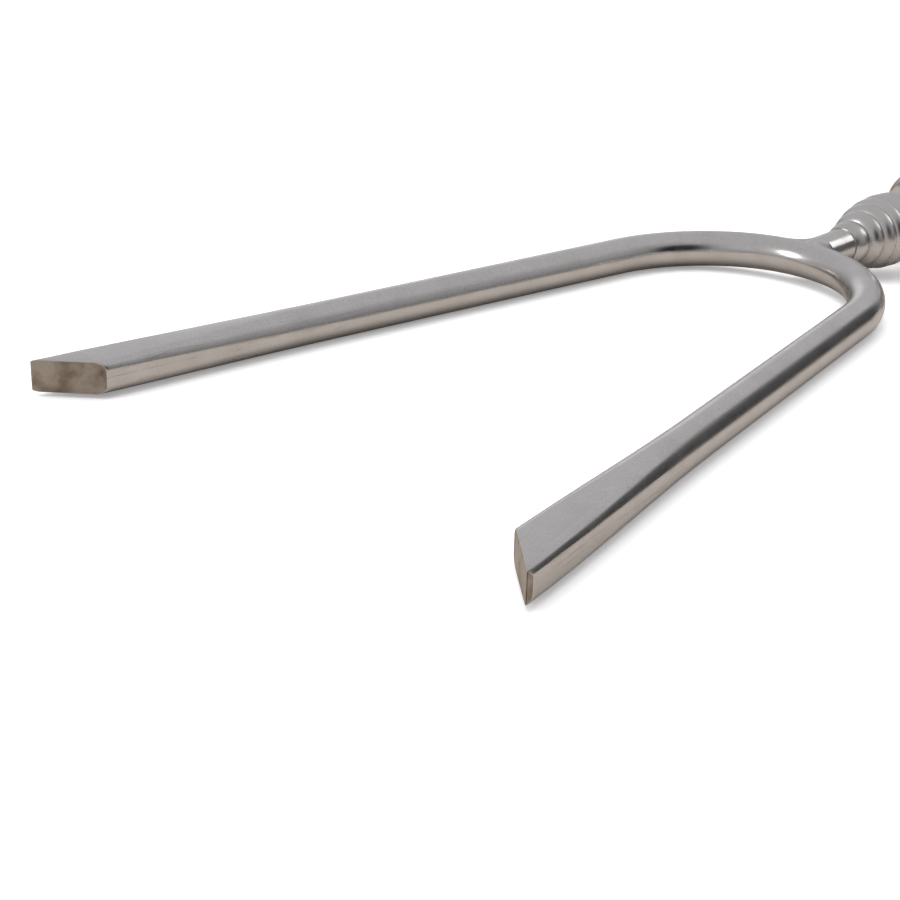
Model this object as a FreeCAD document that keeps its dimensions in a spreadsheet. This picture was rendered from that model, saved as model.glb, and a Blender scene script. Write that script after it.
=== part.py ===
"""Golf divot repair tool: a two-pronged fork bent from round steel rod, a stem brazed to its crown, and a turned
handle threaded over the stem, with a magnetic ball marker in the flared butt.

Frame: millimetres, +Y runs along the handle's axis out of the butt, +Z is square to the plane of the fork, and the
prongs point along -Y. The origin is on the handle's axis, midway between the prong tips and the butt.
"""
import FreeCAD, Part
import math
import os

import Sketcher

V = FreeCAD.Vector
doc = FreeCAD.newDocument("divot_repair_tool")

# ---------------------------------------------------------------------------------------------------------------
# Driving dimensions, in millimetres and degrees. Places along the handle are counted from the crown's apex.
# ---------------------------------------------------------------------------------------------------------------
SIZES = {
    "crown_place": -12.1,        # the crown's apex, along Y from the origin
    "rod_radius": 1.0,           # fork and stem are the same round rod
    "crown_radius": 6.76,        # centreline of the middle of the bend
    "crown_angle": 40.0,         # turn of the middle of the bend, each side
    "shoulder_radius": 9.68,     # centreline of the easier bend that runs into each prong
    "splay_angle": 10.16,        # each prong's lean away from the handle's axis
    "press_start": 20.0,         # where the pressed-flat stretch starts, along the straight of a prong
    "press_middle": 27.0,
    "press_end": 38.0,           # past the sheared end
    "middle_half_width": 1.13,
    "middle_half_height": 0.92,
    "middle_corner": 0.65,       # the pressed section is an oblong with rounded corners
    "end_half_width": 1.30,
    "end_half_height": 0.80,
    "end_corner": 0.42,
    "shear_inner": 32.9,         # the sheared end's place on a prong's inner side, one rod radius in
    "shear_outer": 35.6,         # and on its outer side
    "shear_outer_across": 1.2,
    "shear_reach": 4.0,          # how far the cutter runs past the rod
    "web_radius": 1.9,           # from the middle of the braze web's hollow round to the handle's axis
    "web_height": 1.2,
    "stem_length": 51.0,         # the threaded end stands a millimetre past the nut
    "stem_chamfer": 0.25,
    "ferrule_start": 3.95,
    "ferrule_length": 9.3,
    "ferrule_radius": 2.17,      # largest ring
    "ferrule_droop": 0.066,      # fall of the rings' crests, per millimetre squared from the largest
    "ring_pitch": 0.97,
    "first_ring": 0.73,          # crest of the first ring, from the ferrule's front
    "ring_curve": 0.66,          # radius of a ring's own round
    "first_ring_curve": 1.5,     # the first ring's longer, flatter lead-in
    "ferrule_face_land": 0.05,    # flat of the ferrule's front face, outside the rod
    "groove_depth": 0.20,
    "collar_length": 1.3,
    "front_collar_radius": 2.75,
    "collar_land": 0.3,
    "collar_round": 0.75,
    "barrel_length": 42.0,
    "barrel_front_radius": 2.35,
    "barrel_swell_radius": 4.35,
    "barrel_swell_place": 27.0,
    "barrel_rear_radius": 3.7,
    "barrel_bore": 1.5,
    "bush_bore": 1.9,
    "bush_length": 4.0,
    "nut_pocket_radius": 2.7,
    "nut_pocket_depth": 9.0,
    "band_groove_half": 0.24,    # half the width of the round grooves turned into the barrel
    "band_groove_curve": 0.28,
    "band_groove_pitch": 0.9,
    "front_band": 5.0,           # first groove of each group, from the barrel's front
    "middle_band": 20.0,
    "rear_band": 37.0,
    "washer_radius": 2.5,
    "washer_thickness": 0.3,
    "lock_washer_radius": 2.2,
    "lock_washer_thickness": 0.5,
    "lock_washer_gap": 0.45,
    "nut_flats": 4.0,
    "nut_thickness": 1.6,
    "nut_chamfer_reach": 2.6,    # radius that the corner chamfer's cutter runs out to
    "nut_chamfer_angle": 30.0,
    "rear_collar_radius": 4.6,
    "spigot_radius": 2.7,
    "spigot_length": 3.4,
    "butt_neck_radius": 3.5,
    "butt_length": 8.6,
    "butt_radius": 10.5,
    "butt_rim": 2.0,
    "butt_flare": 7.4,           # radius of the hollow curve from the neck to the rim
    "butt_waist": 0.8,
    "rim_round": 0.35,
    "seat_radius": 9.3,
    "seat_depth": 1.4,
    "magnet_radius": 5.0,
    "magnet_thickness": 2.0,
    "marker_radius": 9.0,
    "marker_thickness": 1.4,
    "inlay_radius": 7.6,
    "inlay_thickness": 0.4,
    "coin_round": 0.25,
}
sheet = doc.addObject("Spreadsheet::Sheet", "Sizes")
for row, (alias, number) in enumerate(SIZES.items(), start=1):
    sheet.set(f"A{row}", alias)
    sheet.set(f"B{row}", str(number))
    sheet.setAlias(f"B{row}", alias)
doc.recompute()

parts = []


# ---------------------------------------------------------------------------------------------------------------
# Helpers. A size is written as a formula of the sheet's aliases, such as "rod_radius * 2".
# ---------------------------------------------------------------------------------------------------------------
def bound(formula):
    """The formula with each alias named in full, as an object outside the sheet has to write it."""
    words = sorted(SIZES, key=len, reverse=True)
    marked = formula
    for number, word in enumerate(words):
        marked = marked.replace(word, f"@{number}@")
    for number, word in enumerate(words):
        marked = marked.replace(f"@{number}@", f"Sizes.{word}")
    return marked


def value(formula):
    """The formula's present number."""
    return float(sheet.evalExpression(formula))


def new_body(label, place="0"):
    """An empty body whose origin is on the handle's axis, at a place counted from the crown's apex."""
    body = doc.addObject("PartDesign::Body", label)
    body.Label = label
    body.setExpression("Placement.Base.y", bound(f"crown_place + {place}"))
    parts.append(body)
    return body


def origin_feature(body, role):
    """One of the planes or axes that a body is built on."""
    return next(item for item in body.Origin.OriginFeatures if item.Role == role)


def new_sketch(body, name, plane="XY_Plane"):
    sketch = body.newObject("Sketcher::SketchObject", name)
    sketch.AttachmentSupport = (origin_feature(body, plane), [""])
    sketch.MapMode = "FlatFace"
    return sketch


def pin_point(sketch, geometry, end, x, y):
    """Hold one end of a line or arc at a place given by two formulas."""
    for kind, formula in (("DistanceX", x), ("DistanceY", y)):
        number = sketch.addConstraint(
            Sketcher.Constraint(kind, -1, 1, geometry, end, value(formula)))
        sketch.setExpression(f"Constraints[{number}]", bound(formula))


def arc_between(start, end, radius):
    """An arc that turns to the right going from start to end, or to the left where radius is negative."""
    chord = end - start
    middle = (start + end) * 0.5
    across = V(chord.y, -chord.x, 0).normalize()
    depth = math.sqrt(max(radius ** 2 - chord.Length ** 2 / 4, 0))
    centre = middle + across * math.copysign(depth, radius)
    first, last = (end, start) if radius > 0 else (start, end)
    angles = [math.atan2(point.y - centre.y, point.x - centre.x) for point in (first, last)]
    return Part.ArcOfCircle(Part.Circle(centre, V(0, 0, 1), abs(radius)), *angles)


def draw(sketch, points, closed=True):
    """Lines and arcs through points (x, y) or (x, y, radius), each number a formula.

    A radius bends the run that leads to the next point, as arc_between says.
    """
    places = [V(value(point[0]), value(point[1]), 0) for point in points]
    runs = len(points) if closed else len(points) - 1
    loose_ends = []
    for index in range(runs):
        here, there = places[index], places[(index + 1) % len(points)]
        if len(points[index]) == 3:
            formula = points[index][2]
            run = sketch.addGeometry(arc_between(here, there, value(formula)))
            number = sketch.addConstraint(Sketcher.Constraint("Radius", run, abs(value(formula))))
            sketch.setExpression(f"Constraints[{number}]", bound(f"abs({formula})"))
            start_end = (2, 1) if value(formula) > 0 else (1, 2)
        else:
            run = sketch.addGeometry(Part.LineSegment(here, there))
            start_end = (1, 2)
        pin_point(sketch, run, start_end[0], *points[index][:2])
        if loose_ends:
            sketch.addConstraint(Sketcher.Constraint("Coincident", *loose_ends, run, start_end[0]))
        loose_ends = (run, start_end[1])
        if index == 0:
            first_end = (run, start_end[0])
    if closed:
        sketch.addConstraint(Sketcher.Constraint("Coincident", *loose_ends, *first_end))
    else:
        pin_point(sketch, *loose_ends, *points[-1][:2])


def draw_circle(sketch, radius, x="0", y="0"):
    circle = sketch.addGeometry(Part.Circle(V(value(x), value(y), 0), V(0, 0, 1), value(radius)))
    number = sketch.addConstraint(Sketcher.Constraint("Radius", circle, value(radius)))
    sketch.setExpression(f"Constraints[{number}]", bound(radius))
    pin_point(sketch, circle, 3, x, y)
    return circle


def turn(body, sketch, kind="PartDesign::Revolution", name="turning"):
    """Revolve a sketch a full turn about its own upright axis, which is the handle's axis."""
    feature = body.newObject(kind, name)
    feature.Profile = sketch
    feature.ReferenceAxis = (sketch, ["V_Axis"])
    feature.Angle = 360
    return feature


def turned_body(label, place, points):
    """A body turned about the handle's axis from an outline of (radius, place along the axis)."""
    body = new_body(label, place)
    outline = new_sketch(body, f"{label}_outline")
    draw(outline, points)
    turn(body, outline, name=f"{label}_turning")
    return body


# ---------------------------------------------------------------------------------------------------------------
# Fork rod: half of the bend and one prong, mirrored. The sketch's X is the fork's width.
# ---------------------------------------------------------------------------------------------------------------
SHOULDER_X = "(crown_radius - shoulder_radius) * sin(crown_angle * 1deg)"
SHOULDER_Y = "(crown_radius - shoulder_radius) * cos(crown_angle * 1deg) - crown_radius"
PRONG_X = f"({SHOULDER_X} + shoulder_radius * cos(splay_angle * 1deg))"
PRONG_Y = f"({SHOULDER_Y} + shoulder_radius * sin(splay_angle * 1deg))"


def on_prong(along, across):
    """A place in the fork's plane, along a prong's straight from its start and across it, outwards."""
    x = f"{PRONG_X} + ({along}) * sin(splay_angle * 1deg) + ({across}) * cos(splay_angle * 1deg)"
    y = f"{PRONG_Y} - ({along}) * cos(splay_angle * 1deg) + ({across}) * sin(splay_angle * 1deg)"
    return x, y


def oblong(half_width, half_height, corner):
    """The points of a rounded oblong, four flats and four corner arcs."""
    return [
        (f"{corner} - {half_width}", half_height),
        (f"{half_width} - {corner}", half_height, corner),
        (half_width, f"{half_height} - {corner}"),
        (half_width, f"{corner} - {half_height}", corner),
        (f"{half_width} - {corner}", f"-{half_height}"),
        (f"{corner} - {half_width}", f"-{half_height}", corner),
        (f"-{half_width}", f"{corner} - {half_height}"),
        (f"-{half_width}", f"{half_height} - {corner}", corner),
    ]


def prong_section(body, name, along, corners):
    """A section square to the prong, at a place along its straight."""
    section = new_sketch(body, name, "XZ_Plane")
    x, y = on_prong(along, "0")
    section.AttachmentOffset = FreeCAD.Placement(V(value(x), 0, -value(y)),
                                                 FreeCAD.Rotation(V(0, 1, 0), value("splay_angle")))
    section.setExpression("AttachmentOffset.Base.x", bound(x))
    section.setExpression("AttachmentOffset.Base.z", bound(f"-({y})"))
    section.setExpression("AttachmentOffset.Rotation.Angle", bound("splay_angle * 1deg"))
    draw(section, corners)
    return section


fork = new_body("fork_rod")
bend = new_sketch(fork, "bend_centreline")
draw(bend, [
    ("0", "0", "crown_radius"),
    ("crown_radius * sin(crown_angle * 1deg)", "crown_radius * cos(crown_angle * 1deg) - crown_radius",
     "shoulder_radius"),
    (PRONG_X, PRONG_Y),
    on_prong("press_start", "0"),
], closed=False)
rod_section = new_sketch(fork, "rod_section", "YZ_Plane")
draw_circle(rod_section, "rod_radius")
bent_rod = fork.newObject("PartDesign::AdditivePipe", "bent_rod")
bent_rod.Profile = rod_section
bent_rod.Spine = bend

# The round section has the oblong's eight runs, so that the loft joins like to like.
NEAR_AXIS, OFF_AXIS = "rod_radius * cos(22.5deg)", "rod_radius * sin(22.5deg)"
round_corners = [(f"-{OFF_AXIS}", NEAR_AXIS, "rod_radius"), (OFF_AXIS, NEAR_AXIS, "rod_radius"),
                 (NEAR_AXIS, OFF_AXIS, "rod_radius"), (NEAR_AXIS, f"-{OFF_AXIS}", "rod_radius"),
                 (OFF_AXIS, f"-{NEAR_AXIS}", "rod_radius"), (f"-{OFF_AXIS}", f"-{NEAR_AXIS}", "rod_radius"),
                 (f"-{NEAR_AXIS}", f"-{OFF_AXIS}", "rod_radius"), (f"-{NEAR_AXIS}", OFF_AXIS, "rod_radius")]
round_section = prong_section(fork, "round_section", "press_start", round_corners)
middle_section = prong_section(fork, "middle_section", "press_middle",
                               oblong("middle_half_width", "middle_half_height", "middle_corner"))
end_section = prong_section(fork, "end_section", "press_end",
                            oblong("end_half_width", "end_half_height", "end_corner"))
pressed_end = fork.newObject("PartDesign::AdditiveLoft", "pressed_end")
pressed_end.Profile = round_section
pressed_end.Sections = [middle_section, end_section]

# The shear cuts each prong obliquely, so that its outer side is the longer one.
SHEAR_SLOPE = "((shear_outer - shear_inner) / (shear_outer_across + rod_radius))"
shear_line = new_sketch(fork, "shear_line")
draw(shear_line, [
    on_prong(f"shear_inner - (shear_reach - rod_radius) * {SHEAR_SLOPE}", "-shear_reach"),
    on_prong(f"shear_inner + (shear_reach + rod_radius) * {SHEAR_SLOPE}", "shear_reach"),
    on_prong("press_end + shear_reach", "shear_reach"),
    on_prong("press_end + shear_reach", "-shear_reach"),
])
shear = fork.newObject("PartDesign::Pocket", "shear")
shear.Profile = shear_line
shear.Type = "ThroughAll"
shear.Midplane = True

other_half = fork.newObject("PartDesign::Mirrored", "other_half")
other_half.Originals = [bent_rod, pressed_end, shear]
other_half.MirrorPlane = (origin_feature(fork, "YZ_Plane"), [""])
fork.Tip = other_half


# ---------------------------------------------------------------------------------------------------------------
# Stem: the rod behind the crown, coped to fit round it, and the braze webs in the corners between the two.
# ---------------------------------------------------------------------------------------------------------------
def cope(body):
    """Cut away the room that the crown's rod takes."""
    section = new_sketch(body, f"{body.Label}_crown", "YZ_Plane")
    draw_circle(section, "rod_radius")
    axis = section.addGeometry(Part.LineSegment(V(-value("crown_radius"), -1, 0),
                                                V(-value("crown_radius"), 1, 0)), True)
    pin_point(section, axis, 1, "-crown_radius", "-1")
    pin_point(section, axis, 2, "-crown_radius", "1")
    groove = body.newObject("PartDesign::Groove", f"{body.Label}_cope")
    groove.Profile = section
    groove.ReferenceAxis = (section, ["Axis0"])
    groove.Angle = 360
    return groove


stem = turned_body("stem_rod", "0", [
    ("0", "0"),
    ("rod_radius", "0"),
    ("rod_radius", "stem_length - stem_chamfer"),
    ("rod_radius - stem_chamfer", "stem_length"),
    ("0", "stem_length"),
])
cope(stem)

web = new_body("braze_web")
WEB_PLACE = "(sqrt(crown_radius ^ 2 + 2 * crown_radius * web_radius) - crown_radius)"
TO_CROWN_X = "(web_radius / (web_radius + crown_radius))"
TO_CROWN_Y = f"(({WEB_PLACE} + crown_radius) / (web_radius + crown_radius))"


def towards_crown(distance):
    """A place on the line from the web's round to the centre of the crown's bend."""
    return f"web_radius - {distance} * {TO_CROWN_X}", f"{WEB_PLACE} - {distance} * {TO_CROWN_Y}"


web_corner = new_sketch(web, "web_corner")
draw(web_corner, [
    ("rod_radius", WEB_PLACE, "rod_radius - web_radius"),
    towards_crown("(web_radius - rod_radius)"),
    towards_crown("web_radius"),
    ("rod_radius / 2", "0"),
    ("rod_radius / 2", WEB_PLACE),
])
web_pad = web.newObject("PartDesign::Pad", "web_pad")
web_pad.Profile = web_corner
web_pad.Midplane = True
web_pad.setExpression("Length", bound("web_height"))
cope(web)
stem_room = new_sketch(web, "stem_room")
draw(stem_room, [
    ("0", "-crown_radius"),
    ("rod_radius", "-crown_radius"),
    ("rod_radius", "crown_radius"),
    ("0", "crown_radius"),
])
turn(web, stem_room, "PartDesign::Groove", "stem_clearance")

# The webs on the two sides of the stem are one node, as two solids.
other_web = doc.addObject("Part::Mirroring", "other_web")
other_web.Source = web
other_web.Normal = V(1, 0, 0)
webs = doc.addObject("Part::Compound", "braze_webs")
webs.Links = [web, other_web]
parts.remove(web)
parts.append(webs)


# ---------------------------------------------------------------------------------------------------------------
# Ringed ferrule: convex rings whose crests rise and fall along the piece.
# ---------------------------------------------------------------------------------------------------------------
RING_COUNT = 9
LARGEST_RING = f"(first_ring + ring_pitch * {RING_COUNT // 2})"


def crest(place):
    """Radius over the rings' crests at a place along the ferrule."""
    return f"ferrule_radius - ferrule_droop * ({place} - {LARGEST_RING}) ^ 2"


valleys = []
for number in range(1, RING_COUNT):
    valley = f"(first_ring + ring_pitch * {number - 0.5})"
    valleys.append((f"{crest(valley)} - groove_depth", valley, "-ring_curve"))
ferrule_end = f"(first_ring + ring_pitch * {RING_COUNT - 0.5})"
turned_body("ringed_ferrule", "ferrule_start", [
    ("rod_radius", "0"),
    ("rod_radius + ferrule_face_land", "0", "-first_ring_curve"),
    *valleys,
    ("rod_radius + ferrule_face_land", ferrule_end),
    ("rod_radius + collar_land", "ferrule_length"),
    ("rod_radius", "ferrule_length"),
])


# ---------------------------------------------------------------------------------------------------------------
# Handle: collar, barrel, the bushes that centre the stem in it, and the washers and nut that draw it tight.
# ---------------------------------------------------------------------------------------------------------------
def collar(label, place, radius, bore):
    """A turned ring with a full round rim between two narrow lands."""
    return turned_body(label, place, [
        (bore, "0"),
        (f"{radius} - collar_land", "0", "-collar_round"),
        (f"{radius} - collar_land", "collar_length"),
        (bore, "collar_length"),
    ])


BARREL_START = "ferrule_start + ferrule_length + collar_length"
BARREL_END = f"{BARREL_START} + barrel_length"
NUT_SEAT = "barrel_length - nut_pocket_depth"
collar("front_collar", "ferrule_start + ferrule_length", "front_collar_radius", "rod_radius")

FRONT_SWELL = "((barrel_swell_place ^ 2 + (barrel_swell_radius - barrel_front_radius) ^ 2)"
FRONT_SWELL += " / (2 * (barrel_swell_radius - barrel_front_radius)))"
REAR_RUN = "(barrel_length - barrel_swell_place)"
REAR_SWELL = f"(({REAR_RUN} ^ 2 + (barrel_swell_radius - barrel_rear_radius) ^ 2)"
REAR_SWELL += " / (2 * (barrel_swell_radius - barrel_rear_radius)))"


def swell(place, curve):
    """Outside radius of the barrel at a place, on an arc of a given radius that peaks at the swell."""
    return f"(barrel_swell_radius - {curve} + sqrt({curve} ^ 2 - ({place} - barrel_swell_place) ^ 2))"


def band(first, count, curve):
    """A group of round grooves turned into the barrel: the first one's place, and how many."""
    points = []
    for number in range(count):
        middle = f"({first} + {number} * band_groove_pitch)"
        near, far = f"({middle} - band_groove_half)", f"({middle} + band_groove_half)"
        points += [(swell(near, curve), near, "band_groove_curve"), (swell(far, curve), far, f"-{curve}")]
    return points


turned_body("handle_barrel", BARREL_START, [
    ("bush_bore", "0"),
    ("barrel_front_radius", "0", f"-{FRONT_SWELL}"),
    *band("front_band", 3, FRONT_SWELL),
    *band("middle_band", 5, FRONT_SWELL),
    ("barrel_swell_radius", "barrel_swell_place", f"-{REAR_SWELL}"),
    *band("rear_band", 3, REAR_SWELL),
    ("barrel_rear_radius", "barrel_length"),
    ("nut_pocket_radius", "barrel_length"),
    ("nut_pocket_radius", NUT_SEAT),
    ("bush_bore", NUT_SEAT),
    ("bush_bore", f"{NUT_SEAT} - bush_length"),
    ("barrel_bore", f"{NUT_SEAT} - bush_length"),
    ("barrel_bore", "bush_length"),
    ("bush_bore", "bush_length"),
])


def sleeve(label, place, outer, inner, length):
    """A plain turned sleeve, washer or disc."""
    return turned_body(label, place, [(inner, "0"), (outer, "0"), (outer, length), (inner, length)])


sleeve("front_bush", BARREL_START, "bush_bore", "rod_radius", "bush_length")
sleeve("rear_bush", f"{BARREL_START} + {NUT_SEAT} - bush_length", "bush_bore", "rod_radius", "bush_length")
sleeve("stem_washer", f"{BARREL_START} + {NUT_SEAT}", "washer_radius", "rod_radius", "washer_thickness")

LOCK_WASHER_START = f"{BARREL_START} + {NUT_SEAT} + washer_thickness"
lock_washer = sleeve("lock_washer", LOCK_WASHER_START, "lock_washer_radius", "rod_radius", "lock_washer_thickness")
split = new_sketch(lock_washer, "split", "XZ_Plane")
draw(split, [("-lock_washer_gap / 2", "0"), ("lock_washer_gap / 2", "0"),
             ("lock_washer_gap / 2", "washer_radius"), ("-lock_washer_gap / 2", "washer_radius")])
split_cut = lock_washer.newObject("PartDesign::Pocket", "split_cut")
split_cut.Profile = split
split_cut.Type = "ThroughAll"
split_cut.Midplane = True

nut = new_body("stem_nut", f"{LOCK_WASHER_START} + lock_washer_thickness")
hexagon = new_sketch(nut, "hexagon", "XZ_Plane")
CORNER = "(nut_flats / sqrt(3))"
draw(hexagon, [(f"{CORNER} * cos({60 * turn_number} * 1deg)", f"{CORNER} * sin({60 * turn_number} * 1deg)")
               for turn_number in range(6)])
draw_circle(hexagon, "rod_radius")
nut_pad = nut.newObject("PartDesign::Pad", "nut_pad")
nut_pad.Profile = hexagon
nut_pad.setExpression("Length", bound("nut_thickness"))
nut_pad.Reversed = True
corners = new_sketch(nut, "corner_chamfer")
CHAMFER_DEPTH = "(nut_chamfer_reach - nut_flats / 2) * tan(nut_chamfer_angle * 1deg)"
for face, inwards in (("0", "+"), ("nut_thickness", "-")):
    draw(corners, [
        ("nut_flats / 2", face),
        ("nut_chamfer_reach", face),
        ("nut_chamfer_reach", f"{face} {inwards} {CHAMFER_DEPTH}"),
    ])
turn(nut, corners, "PartDesign::Groove", "nut_chamfer")


# ---------------------------------------------------------------------------------------------------------------
# Butt: rear collar, flared cap with its spigot, magnet and the ball marker that lifts off it.
# ---------------------------------------------------------------------------------------------------------------
collar("rear_collar", BARREL_END, "rear_collar_radius", "spigot_radius")

CAP_START = f"{BARREL_END} + collar_length"
butt_cap = turned_body("butt_cap", CAP_START, [
    ("0", "-spigot_length"),
    ("spigot_radius - stem_chamfer", "-spigot_length"),
    ("spigot_radius", "stem_chamfer - spigot_length"),
    ("spigot_radius", "0"),
    ("butt_neck_radius", "0"),
    ("butt_neck_radius", "butt_waist", "butt_flare"),
    ("butt_radius - rim_round", "butt_length - butt_rim", "-rim_round"),
    ("butt_radius", "butt_length - butt_rim + rim_round"),
    ("butt_radius", "butt_length - rim_round", "-rim_round"),
    ("butt_radius - rim_round", "butt_length"),
    ("seat_radius", "butt_length"),
    ("seat_radius", "butt_length - seat_depth"),
    ("magnet_radius", "butt_length - seat_depth"),
    ("magnet_radius", "butt_length - seat_depth - magnet_thickness"),
    ("0", "butt_length - seat_depth - magnet_thickness"),
])
sleeve("magnet_disc", f"{CAP_START} + butt_length - seat_depth - magnet_thickness", "magnet_radius", "0",
       "magnet_thickness")

MARKER_START = f"{CAP_START} + butt_length - seat_depth"
turned_body("ball_marker", MARKER_START, [
    ("0", "0"),
    ("marker_radius - coin_round", "0", "-coin_round"),
    ("marker_radius", "coin_round"),
    ("marker_radius", "marker_thickness - coin_round", "-coin_round"),
    ("marker_radius - coin_round", "marker_thickness"),
    ("inlay_radius", "marker_thickness"),
    ("inlay_radius", "marker_thickness - inlay_thickness"),
    ("0", "marker_thickness - inlay_thickness"),
])
sleeve("marker_inlay", f"{MARKER_START} + marker_thickness - inlay_thickness", "inlay_radius", "0",
       "inlay_thickness")


# ---------------------------------------------------------------------------------------------------------------
# Check every object, then write each sub-part.
# ---------------------------------------------------------------------------------------------------------------
doc.recompute()
for item in doc.Objects:
    if "Invalid" in item.State or "Error" in item.State:
        raise RuntimeError(f"{item.Label} failed: {item.State}")
for part in parts:
    if part.Shape.isNull() or not part.Shape.isValid() or not part.Shape.Solids:
        raise RuntimeError(f"{part.Label} has no valid solid")
os.makedirs("parts", exist_ok=True)
for part in parts:
    part.Shape.exportStep(f"parts/{part.Label}.step")
    print(f"{part.Label}: {part.Shape.Volume:.2f} mm3, {len(part.Shape.Solids)} solid")
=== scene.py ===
"""Looks of the divot repair tool, laid out as an add-on and run as a script.

Lengths are metres in the tool's own frame: +Y along the handle and out of the butt, +Z square to the fork.
"""
import math

import bmesh
import bpy
from mathutils import Matrix, Vector
from mathutils import noise


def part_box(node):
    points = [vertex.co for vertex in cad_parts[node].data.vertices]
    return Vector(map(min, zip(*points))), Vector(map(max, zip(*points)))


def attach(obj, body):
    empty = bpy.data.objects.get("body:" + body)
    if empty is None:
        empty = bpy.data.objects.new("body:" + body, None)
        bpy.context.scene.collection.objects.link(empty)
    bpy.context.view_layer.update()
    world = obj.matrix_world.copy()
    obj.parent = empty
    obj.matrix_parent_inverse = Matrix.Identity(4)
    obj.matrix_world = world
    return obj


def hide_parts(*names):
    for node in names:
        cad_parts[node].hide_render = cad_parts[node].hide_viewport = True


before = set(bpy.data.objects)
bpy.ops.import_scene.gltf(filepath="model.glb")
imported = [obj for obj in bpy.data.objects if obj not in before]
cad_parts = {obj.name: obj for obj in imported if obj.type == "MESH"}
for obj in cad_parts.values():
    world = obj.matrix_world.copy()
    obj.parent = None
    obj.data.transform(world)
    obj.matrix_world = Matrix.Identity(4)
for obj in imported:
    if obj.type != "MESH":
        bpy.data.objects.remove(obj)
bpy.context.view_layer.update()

bl_info = {
    "name": "Divot Repair Tool",
    "version": (1, 0, 0),
    "blender": (4, 5, 0),
    "location": "3D View > Sidebar > Divot Tool",
    "description": "Models and finishes a bent-rod divot repair tool around its CAD frame",
    "category": "Add Mesh",
}

MM = 0.001
STEM_LOW, STEM_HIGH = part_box("stem_rod")
FERRULE_LOW, FERRULE_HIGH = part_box("ringed_ferrule")
FRONT_COLLAR_LOW, FRONT_COLLAR_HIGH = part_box("front_collar")
BARREL_LOW, BARREL_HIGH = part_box("handle_barrel")
REAR_COLLAR_LOW, REAR_COLLAR_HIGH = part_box("rear_collar")
BUTT_LOW, BUTT_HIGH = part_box("butt_cap")
MAGNET_LOW, MAGNET_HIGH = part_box("magnet_disc")
MARKER_LOW, MARKER_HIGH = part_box("ball_marker")
INLAY_LOW, INLAY_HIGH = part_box("marker_inlay")
ROD_RADIUS = STEM_HIGH.x
CROWN_PLACE = STEM_LOW.y
SAME_PLACE = 1e-6  # points nearer than this, in metres, are one


def length(name, description, default):
    """A size in metres that the sidebar shows as a length."""
    return bpy.props.FloatProperty(name=name, description=description, default=default, unit="LENGTH",
                                   subtype="DISTANCE", precision=5)


def turn(name, description, degrees):
    """An angle that the sidebar shows in degrees."""
    return bpy.props.FloatProperty(name=name, description=description, default=math.radians(degrees),
                                   unit="ROTATION", subtype="ANGLE")


def tint(name, description, hex_colour):
    """A colour that the sidebar shows, given as an sRGB hex value."""
    return bpy.props.FloatVectorProperty(name=name, description=description, subtype="COLOR", size=3,
                                         min=0, max=1, default=linear(hex_colour))


def linear(hex_colour):
    """The linear colour of an sRGB hex value such as "#C8C4C0"."""
    channels = [int(hex_colour[place:place + 2], 16) / 255 for place in (1, 3, 5)]
    return tuple(channel / 12.92 if channel <= 0.04045 else ((channel + 0.055) / 1.055) ** 2.4
                 for channel in channels)


# ----------------------------------------------------------------------
# Settings
# ----------------------------------------------------------------------
class ForkSettings(bpy.types.PropertyGroup):
    """Sizes of the bent rod fork and its stem."""
    crown_radius: length("Crown Radius", "Centreline radius of the middle of the bend", 6.76 * MM)
    crown_angle: turn("Crown Angle", "Turn of the middle of the bend, each side", 40)
    shoulder_radius: length("Shoulder Radius", "Centreline radius of the bend into each prong", 9.68 * MM)
    splay: turn("Splay", "Each prong's lean away from the axis", 10.16)
    press_start: length("Press Start", "Where the pressed-flat stretch starts, along a prong", 19 * MM)
    press_end: length("Press End", "Where the pressing is complete", 34 * MM)
    pressed_width: length("Pressed Half Width", "Half the width of the pressed end", 1.26 * MM)
    pressed_height: length("Pressed Half Height", "Half the thickness of the pressed end", 0.80 * MM)
    pressed_corner: length("Pressed Corner", "Rounding of the pressed end's corners", 0.44 * MM)
    shear_inner: length("Shear Inner", "Sheared end's place on a prong's inner side", 32.7 * MM)
    shear_outer: length("Shear Outer", "Sheared end's place on a prong's outer side", 35.6 * MM)
    shear_uneven: length("Shear Unevenness", "How much squarer the other prong is sheared", 0.35 * MM)
    web_radius: length("Braze Web", "Centreline radius of the braze web beside the stem", 1.9 * MM)


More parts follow.
